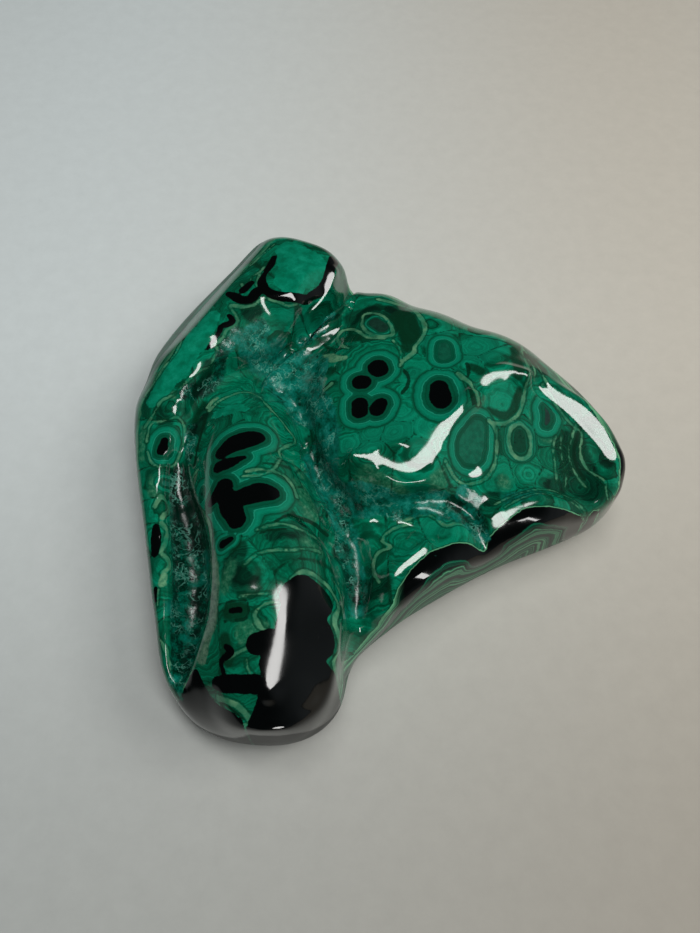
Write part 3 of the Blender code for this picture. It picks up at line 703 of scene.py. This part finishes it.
EYE_REACH = 9.0
eyes = [(cores, width, 1.0, True) for cores, width in EYES]
eyes += [(cores, width, shade, False) for cores, width, shade in GREEN_EYES]
black = nearest_of(BLACKS)
black = np.minimum(black, outline_distance(BLACK_CAP))
black = np.minimum(black, outline_distance(BLACK_TOE))
ring = np.full(len(points), FAR)
core_shade = np.zeros(len(points))
ring_gap = np.full(len(points), FAR)
for cores, width, shade, black_core in eyes:
    gap = nearest_of(cores, reach=EYE_REACH)
    if black_core:
        black = np.minimum(black, gap)
    closer = gap < ring_gap
    ring = np.where(closer, gap / width, ring)
    core_shade = np.where(closer, shade, core_shade)
    ring_gap = np.minimum(ring_gap, gap)
ring = np.clip(ring, -2.0, 3.0)

# Each point belongs to the nearest lobe or eye, which has its own tint; two meet in a seam
LOBE_SEED = 7
EYE_LOBE = 1.0
nearest = np.full(len(points), FAR)
next_nearest = np.full(len(points), FAR)
lobe_tint = np.zeros(len(points))
chance = np.random.default_rng(LOBE_SEED)
eye_lobes = [(*cores[0][0][:2], width + EYE_LOBE) for cores, width, shade, black_core in eyes]
for x, y, radius in LOBES + eye_lobes:
    gap = np.linalg.norm(points - on_skin(x, y), axis=1) - radius
    tint = chance.uniform(-1.0, 1.0)
    closer = gap < nearest
    next_nearest = np.where(closer, nearest, np.minimum(next_nearest, gap))
    lobe_tint = np.where(closer, tint, lobe_tint)
    nearest = np.minimum(nearest, gap)

# The shoulder's distance is negative on the grown top and positive down the wall
WALL_REACH = 40.0
OVERHUNG = -0.2
shoulder = distance_to(SHOULDER, reach=WALL_REACH, closed=True)
grown = inside_of(SHOULDER) & (skin_facing()[:, 2] > OVERHUNG)

TONE_FADE = 1.6
laid_open = {
    "black": black, "ring": ring, "core_shade": core_shade,
    "pale": lines_distance(PALE_LINES), "pale_patch": nearest_of(PALE_PATCHES),
    "grey_seam": lines_distance(GREY_SEAMS), "dark_line": lines_distance(DARK_LINES),
    "mint": nearest_of(MINT_PATCHES), "dark": nearest_of(DARKS),
    "lobe": nearest, "lobe_edge": next_nearest - nearest, "lobe_tint": lobe_tint,
    "wall": np.where(grown, -shoulder, shoulder),
    "crust": crust_share(), "crack": nearest_of(CRACKS),
}
for tone, areas in TONES.items():
    laid_open[tone] = soft_step(nearest_of(areas), TONE_FADE, -TONE_FADE)
for name, values in laid_open.items():
    layer = stone.data.attributes.new(name, "FLOAT", "POINT")
    layer.data.foreach_set("value", np.asarray(values, np.float32))

# -------------------------------------------------------------------------------------------------
# The malachite itself
# One material. The colours are green copper carbonate at different grain: coarse is near black,
# fine is mint, the thin chalky shells are pale. Polished all over but for the crusts.

malachite = bpy.data.materials.new("malachite")
malachite.use_nodes = True
tree = malachite.node_tree
tree.nodes.clear()


def fed(target, value):
    """Feeds a node's input from another node, or sets it."""
    if isinstance(value, bpy.types.NodeSocket):
        tree.links.new(value, target)
    else:
        target.default_value = value


def sum_of(kind, *values):
    """Adds, multiplies or otherwise joins values in one Math node."""
    made = tree.nodes.new("ShaderNodeMath")
    made.operation = kind
    for target, value in zip(made.inputs, values):
        fed(target, value)
    return made.outputs[0]


def centred(value):
    """Noise moved from 0 to 1 down to its middle at 0."""
    return sum_of("SUBTRACT", value, 0.5)


def between(value, low, high, start=0.0, end=1.0):
    """A value's soft way from start, where it is low, to end, where it is high."""
    made = tree.nodes.new("ShaderNodeMapRange")
    made.interpolation_type = "SMOOTHSTEP"
    for target, given in zip(made.inputs, (value, low, high, start, end)):
        fed(target, given)
    return made.outputs[0]


# Share of a colour's brightness that the stone itself has, the lamps giving the rest
LAMP_SHARE = 0.88


def seen(red, green, blue):
    """A colour as it looks under the lamps, 0 to 255, as the stone's own linear colour."""
    parts = []
    for value in (red, green, blue):
        share = value / 255
        linear = share / 12.92 if share <= 0.04045 else ((share + 0.055) / 1.055) ** 2.4
        parts.append(min(1.0, linear * LAMP_SHARE))
    return (*parts, 1.0)


def laid_over(under, over, amount, blend="MIX"):
    """One colour laid over another by an amount, or darkened by it."""
    made = tree.nodes.new("ShaderNodeMix")
    made.data_type = "RGBA"
    made.blend_type = blend
    fed(made.inputs["Factor"], amount)
    fed(made.inputs["A"], under)
    fed(made.inputs["B"], over)
    return made.outputs["Result"]


def bands(value, stops):
    """A run of colours along a value, each at its stop."""
    made = tree.nodes.new("ShaderNodeValToRGB")
    ramp = made.color_ramp
    while len(ramp.elements) < len(stops):
        ramp.elements.new(0.5)
    for element, (stop, colour) in zip(ramp.elements, stops):
        element.position = stop
        element.color = colour
    fed(made.inputs[0], value)
    return made.outputs[0]


def kept(name):
    """A distance or an amount that was kept on the skin."""
    made = tree.nodes.new("ShaderNodeAttribute")
    made.attribute_name = name
    return made.outputs["Fac"]


def parts_of(vector):
    """A vector's X, Y and Z."""
    made = tree.nodes.new("ShaderNodeSeparateXYZ")
    fed(made.inputs[0], vector)
    return made.outputs


to_mm = tree.nodes.new("ShaderNodeVectorMath")
to_mm.operation = "SCALE"
to_mm.inputs["Scale"].default_value = 1 / MM
fed(to_mm.inputs[0], tree.nodes.new("ShaderNodeTexCoord").outputs["Object"])
in_mm = to_mm.outputs[0]
across = parts_of(in_mm)


def noise(size, detail=2.0, rough=0.5, distortion=0.0, along=None):
    """Noise from 0 to 1 with lumps of about the size in mm, in the stone or along a value."""
    made = tree.nodes.new("ShaderNodeTexNoise")
    made.inputs["Scale"].default_value = 1.0 / size
    made.inputs["Detail"].default_value = detail
    made.inputs["Roughness"].default_value = rough
    made.inputs["Distortion"].default_value = distortion
    if along is None:
        tree.links.new(in_mm, made.inputs["Vector"])
    else:
        made.noise_dimensions = "1D"
        tree.links.new(along, made.inputs["W"])
    return made.outputs["Fac"]


# What makes every border uneven: wide waves, fine fraying and small frills
wobble = centred(noise(2.2, 2.0))
fleck = noise(0.7, 3.0, 0.6)
fray = centred(fleck)
frill = centred(noise(1.3, 3.0, 0.65))


def wavy(name, wide=0.0, fine=0.0, lobed=0.0):
    """A kept distance made uneven, in mm."""
    value = kept(name)
    for amount, source in ((wide, wobble), (fine, fray), (lobed, frill)):
        if amount:
            value = sum_of("MULTIPLY_ADD", source, amount, value)
    return value


def toned(name, low=0.25, high=0.75, most=1.0):
    """A broad tone's amount, its border frayed."""
    value = sum_of("MULTIPLY_ADD", wobble, 0.8, sum_of("MULTIPLY_ADD", fray, 0.4, kept(name)))
    return between(value, low, high, 0.0, most)


# Plain lobes: nested rings, fine and irregular, and a thin dark seam where two meet
lobe = wavy("lobe", wide=2.2, fine=0.25)
shells = noise(0.5, 4.0, 0.65, along=sum_of("MULTIPLY_ADD", kept("lobe_tint"), 9.0, lobe))
broad_shells = noise(1.9, 2.0, 0.5, along=sum_of("MULTIPLY_ADD", kept("lobe_tint"), 5.0, lobe))
shell_mix = sum_of("MULTIPLY_ADD", broad_shells, 0.55, sum_of("MULTIPLY", shells, 0.45))
green = bands(sum_of("MULTIPLY_ADD", kept("lobe_tint"), 0.05, shell_mix), [
    (0.36, seen(1, 56, 36)), (0.45, seen(1, 88, 62)), (0.53, seen(1, 110, 80)),
    (0.64, seen(6, 136, 104))])
mottle = noise(4.0, 4.0, 0.65)
green = laid_over(green, seen(2, 66, 45), between(mottle, 0.48, 0.66, 0.0, 0.75))

# Broad tones
bright_tone = bands(shell_mix, [(0.35, seen(4, 104, 78)), (0.6, seen(10, 138, 106))])
green = laid_over(green, bright_tone, toned("bright", most=0.75))
deep_tone = bands(shell_mix, [
    (0.36, seen(2, 26, 17)), (0.5, seen(2, 46, 31)), (0.62, seen(6, 72, 50))])
green = laid_over(green, deep_tone, toned("deep", 0.2, 0.65, 0.95))
teal_tone = bands(noise(1.4, 4.0, 0.7), [
    (0.36, seen(4, 70, 58)), (0.5, seen(6, 98, 82)), (0.64, seen(20, 118, 102))])
green = laid_over(green, teal_tone, toned("teal", most=0.9))
olive_tone = bands(noise(0.8, 4.0, 0.7), [
    (0.34, seen(10, 82, 54)), (0.5, seen(34, 106, 76)), (0.66, seen(74, 136, 104))])
green = laid_over(green, olive_tone, toned("olive", most=0.75))

# Darks
seam_at = wavy("lobe_edge", wide=0.4, fine=0.3)
green = laid_over(green, seen(4, 44, 26), between(seam_at, 0.05, 0.42, 0.85, 0.0))
dark_at = wavy("dark", wide=0.9, fine=0.4)
green = laid_over(green, seen(5, 50, 30), between(dark_at, 0.5, -0.2, 0.0, 0.9))
outline_at = wavy("dark_line", wide=0.5, fine=0.2)
green = laid_over(green, seen(4, 40, 24), between(outline_at, 0.12, -0.08, 0.0, 0.9))

# Mint patches
mint_at = wavy("mint", wide=1.4, fine=0.5, lobed=1.4)
mint_tone = bands(noise(2.0, 4.0, 0.6), [
    (0.32, seen(1, 104, 76)), (0.5, seen(2, 124, 94)), (0.68, seen(14, 140, 110))])
green = laid_over(green, mint_tone, between(mint_at, 0.15, -0.15))

# Eyes: a dark skirt round the core, a hair-thin bright ring, then the mint plateau and its dark
# outline, with finer rings all through
ring_at = sum_of("MULTIPLY_ADD", wobble, 0.24, sum_of("MULTIPLY_ADD", fray, 0.10, kept("ring")))
eye = bands(between(ring_at, 0.0, 1.25), [
    (0.00, seen(2, 66, 44)), (0.14, seen(2, 78, 54)), (0.22, seen(4, 94, 70)),
    (0.26, seen(32, 148, 120)), (0.31, seen(6, 116, 88)), (0.50, seen(6, 126, 97)),
    (0.70, seen(3, 110, 82)), (0.77, seen(4, 60, 40)), (0.84, seen(3, 88, 62))])
finer_rings = noise(0.42, 2.0, along=sum_of("MULTIPLY", ring_at, 2.4))
eye = laid_over(eye, seen(3, 92, 68), between(finer_rings, 0.45, 0.7, 0.0, 0.6))
green = laid_over(green, eye, between(ring_at, 0.95, 1.05, 1.0, 0.0))
green_core = bands(kept("core_shade"), [
    (0.05, seen(30, 96, 84)), (0.2, seen(8, 136, 102)), (0.5, seen(14, 88, 66)),
    (0.9, seen(4, 60, 40)), (1.0, seen(34, 58, 52))])
core_grain = bands(noise(0.9, 3.0), [(0.3, (0.6, 0.6, 0.6, 1)), (0.6, (1, 1, 1, 1))])
green_core = laid_over(green_core, core_grain, 0.8, "MULTIPLY")
green = laid_over(green, green_core, between(ring_at, 0.0, -0.06))

# Layered wall, fainter to the left, and the black layer at its top, in front on the right
wall_at = wavy("wall", wide=0.7, fine=0.12)
layers = bands(noise(1.1, 3.0, 0.62, along=wall_at), [
    (0.36, seen(0, 12, 8)), (0.43, seen(2, 40, 28)), (0.49, seen(4, 76, 54)),
    (0.54, seen(24, 112, 80)), (0.60, seen(96, 164, 122))])
wall_share = between(across["X"], -16.0, -4.0, 0.3, 1.0)
green = laid_over(green, layers, sum_of("MULTIPLY", between(wall_at, -0.25, 0.1), wall_share))
black_ends = between(wall_at, 3.0, 3.25, 1.0, 0.0)
black_layer = sum_of("MULTIPLY", between(wall_at, 0.12, 0.3), black_ends)
black_layer = sum_of("MULTIPLY", black_layer, between(across["X"], 0.5, 4.0))
black_layer = sum_of("MULTIPLY", black_layer, between(across["Y"], 6.0, -2.0))

# Seams, then pale lines of uneven width and strength, each with a dark hem, and pale patches
grey_tone = bands(noise(0.9, 4.0, 0.7), [(0.35, seen(44, 84, 66)), (0.65, seen(104, 134, 112))])
grey_at = wavy("grey_seam", wide=0.5, fine=0.4)
green = laid_over(green, grey_tone, between(grey_at, 0.25, -0.25, 0.0, 0.85))
pale_at = wavy("pale", wide=0.45, fine=0.3)
pale_at = sum_of("MULTIPLY_ADD", centred(noise(2.6, 2.0)), 0.55, pale_at)
hem = sum_of("MULTIPLY", between(pale_at, 0.1, 0.2), between(pale_at, 0.32, 0.5, 0.7, 0.0))
green = laid_over(green, seen(4, 58, 36), hem)
pale_tone = bands(noise(1.8, 3.0), [
    (0.3, seen(34, 104, 74)), (0.5, seen(66, 128, 96)), (0.7, seen(96, 150, 112))])
strength = between(noise(3.2, 2.0), 0.3, 0.6, 0.45, 1.0)
green = laid_over(green, pale_tone, sum_of("MULTIPLY", between(pale_at, 0.14, -0.05), strength))
patch_tone = bands(fleck, [(0.42, seen(66, 128, 96)), (0.55, seen(98, 154, 116))])
patch_at = wavy("pale_patch", wide=0.9, fine=0.6)
green = laid_over(green, patch_tone, between(patch_at, 0.15, -0.15))

# Black
black_at = wavy("black", wide=0.25, fine=0.3, lobed=0.25)
black_amount = sum_of("MAXIMUM", between(black_at, 0.06, -0.10), black_layer)
green = laid_over(green, seen(2, 4, 4), black_amount)

# The crusts, ragged at their borders, and the cracks, their grooves darkened near black as painted
# shade
crust_edge = sum_of("MULTIPLY_ADD", wobble, 1.0, sum_of("MULTIPLY_ADD", frill, 0.8, kept("crust")))
crust_amount = between(crust_edge, 0.35, 0.8)
speckle = noise(0.42, 3.0, 0.75)
velvet_at = sum_of("MULTIPLY_ADD", noise(2.2, 4.0, 0.65), 0.7, sum_of("MULTIPLY", speckle, 0.3))
velvet_at = sum_of("MULTIPLY_ADD", toned("deep"), -0.10, velvet_at)
velvet_at = sum_of("ADD", between(across["X"], -25.0, -31.0, 0.045, -0.06), velvet_at)
velvet = bands(velvet_at, [
    (0.36, seen(0, 24, 16)), (0.43, seen(0, 58, 43)), (0.50, seen(0, 88, 70)),
    (0.57, seen(2, 108, 92)), (0.68, seen(30, 136, 120))])
# Painted glints: the tips of the needles catch the light along fine threads, painted into the
# crust's colour as pale streaks
needle_glints = sum_of("ABSOLUTE", centred(noise(2.4, 3.0, 0.62, 0.4)))
needle_glints = sum_of("MULTIPLY", between(needle_glints, 0.035, 0.0), between(noise(5.0, 2.0), 0.4, 0.62))
velvet = laid_over(velvet, seen(104, 180, 160), sum_of("MULTIPLY", needle_glints, 0.55))
green = laid_over(green, velvet, sum_of("MULTIPLY", crust_amount, 0.95))
# Painted shade: near black down the cracks' grooves
crack_shade_at = sum_of("MULTIPLY_ADD", fray, 0.4, kept("crack"))
green = laid_over(green, seen(1, 10, 8), between(crack_shade_at, 0.35, 0.0))

# The underside: big rings sawn through, drawn from their own middles
UNDER_RINGS = [(-16.0, -24.0), (14.0, 2.0), (-22.0, 20.0), (33.0, -6.0), (4.0, 24.0)]
under_at = FAR * 2.0
for x, y in UNDER_RINGS:
    away = tree.nodes.new("ShaderNodeVectorMath")
    away.operation = "DISTANCE"
    fed(away.inputs[0], in_mm)
    fed(away.inputs[1], (x, y, 0.0))
    under_at = sum_of("MINIMUM", under_at, away.outputs["Value"])
under_at = sum_of("MULTIPLY_ADD", centred(noise(9.0, 3.0)), 7.0, under_at)
under_at = sum_of("MULTIPLY_ADD", wobble, 0.6, under_at)
under = bands(noise(1.5, 4.0, 0.6, along=under_at), [
    (0.30, seen(2, 14, 10)), (0.38, seen(3, 52, 34)), (0.48, seen(3, 96, 70)),
    (0.58, seen(8, 126, 96)), (0.68, seen(70, 146, 110))])
green = laid_over(green, under, between(across["Z"], 0.9, 0.3))

# The grain of the needles, seen through the polish
needle_grain = bands(noise(0.22, 2.0), [(0.3, (0.80, 0.80, 0.80, 1)), (0.7, (1, 1, 1, 1))])
green = laid_over(green, needle_grain, 0.9, "MULTIPLY")

# The polish, duller low down on the wall and in the crusts
BEST_POLISH, WORST_POLISH = 0.07, 0.12
WALL_DULLNESS = 0.34
CRUST_DULLNESS = 0.10
NEEDLE_RELIEF = 0.04
surface = tree.nodes.new("ShaderNodeBsdfPrincipled")
surface.inputs["IOR"].default_value = 1.52
fed(surface.inputs["Base Color"], green)
polish = between(noise(7.0, 2.0), 0.35, 0.65, BEST_POLISH, WORST_POLISH)
polish = sum_of("MULTIPLY_ADD", between(wall_at, 3.0, 4.0), WALL_DULLNESS, polish)
polish = sum_of("MULTIPLY_ADD", crust_amount, CRUST_DULLNESS, polish)
fed(surface.inputs["Roughness"], polish)
grain = tree.nodes.new("ShaderNodeBump")
grain.inputs["Distance"].default_value = NEEDLE_RELIEF * MM
fed(grain.inputs["Height"], sum_of("MULTIPLY", speckle, crust_amount))
fed(surface.inputs["Normal"], grain.outputs[0])
output = tree.nodes.new("ShaderNodeOutputMaterial")
fed(output.inputs[0], surface.outputs[0])

stone.data.materials.clear()
stone.data.materials.append(malachite)
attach(stone, "root")
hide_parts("stone")

# -------------------------------------------------------------------------------------------------
# The studio
# A sheet of pale paper, one long lamp overhead and a soft one to the right that gives the shadow
# at the left. The room is dim, and a little brighter to the right.

# The paper's colour has painted light, cooler and brighter to the left and warmer to the right,
# and painted shade that darkens it to the front. It shows its fibre. Lengths in metres
PAPER_SIZE = 3.0
PAPER_WARM_PAINTED_LIGHT, PAPER_COOL_PAINTED_LIGHT = (0.49, 0.465, 0.41, 1.0), (0.565, 0.62, 0.63, 1.0)
PAPER_PAINTED_FRONT_SHADE = (0.62, 0.60, 0.58, 1.0)
PAPER_FIBRE = (0.86, 0.86, 0.86, 1.0)

bpy.ops.object.select_all(action="DESELECT")
bpy.ops.mesh.primitive_plane_add(size=PAPER_SIZE)
paper = bpy.context.object
paper.name = "paper"
sheet = bpy.data.materials.new("paper")
sheet.use_nodes = True
tree = sheet.node_tree
place = tree.nodes.new("ShaderNodeTexCoord").outputs["Object"]
across = parts_of(place)
# Painted light: warmer to the right, cooler and brighter to the left; then painted shade darkens
# the front
paper_colour_with_painted_light = laid_over(PAPER_WARM_PAINTED_LIGHT, PAPER_COOL_PAINTED_LIGHT, between(across["X"], 0.09, -0.09))
paper_colour_with_painted_light = laid_over(paper_colour_with_painted_light, PAPER_PAINTED_FRONT_SHADE, between(across["Y"], 0.05, -0.10), "MULTIPLY")
fibre = tree.nodes.new("ShaderNodeTexNoise")
for name, value in (("Vector", place), ("Scale", 260.0), ("Detail", 5.0), ("Roughness", 0.7)):
    fed(fibre.inputs[name], value)
paper_colour_with_painted_light = laid_over(paper_colour_with_painted_light, PAPER_FIBRE, fibre.outputs["Fac"], "MULTIPLY")
board = tree.nodes["Principled BSDF"]
fed(board.inputs["Base Color"], paper_colour_with_painted_light)
board.inputs["Roughness"].default_value = 0.9
board.inputs["Specular IOR Level"].default_value = 0.2
paper.data.materials.append(sheet)


def lamp(name, place, size, watts, colour):
    """A rectangular lamp that shines on the stone. Lengths in metres."""
    light = bpy.data.lights.new(name, "AREA")
    light.shape = "RECTANGLE"
    light.size, light.size_y = size
    light.energy = watts
    light.color = colour
    made = bpy.data.objects.new(name, light)
    bpy.context.scene.collection.objects.link(made)
    made.location = place
    made.rotation_mode = "QUATERNION"
    made.rotation_quaternion = (-Vector(place)).to_track_quat("-Z", "Y")
    return made


lamp("overhead", (0.085, -0.10, 0.62), size=(0.13, 0.60), watts=3.6, colour=(1.0, 0.99, 0.97))
side = lamp("side", (0.55, 0.0, 0.65), size=(0.35, 0.35), watts=2.6, colour=(1.0, 0.97, 0.92))
side.visible_glossy = False

DIMMEST, BRIGHTEST = 0.02, 0.20
world = bpy.data.worlds.new("room")
bpy.context.scene.world = world
world.use_nodes = True
tree = world.node_tree
way = parts_of(tree.nodes.new("ShaderNodeTexCoord").outputs["Generated"])
room = tree.nodes["Background"]
fed(room.inputs["Strength"], between(way["X"], 0.1, 1.0, DIMMEST, BRIGHTEST))
room.inputs["Color"].default_value = (0.88, 0.96, 1.0, 1.0)

# The camera looks down from close by. Metres, degrees and, for the lens, millimetres
CAMERA_PLACE = (-0.0051, -0.07465, 0.1380)
CAMERA_TILT = 30.0
view = bpy.data.cameras.new("camera")
view.lens = 30.0
view.sensor_width = 36.0
view.clip_start = 0.005
camera = bpy.data.objects.new("camera", view)
bpy.context.scene.collection.objects.link(camera)
camera.location = CAMERA_PLACE
camera.rotation_euler = (np.radians(CAMERA_TILT), 0.0, 0.0)
bpy.context.scene.camera = camera
bpy.context.scene.view_settings.view_transform = "Standard"
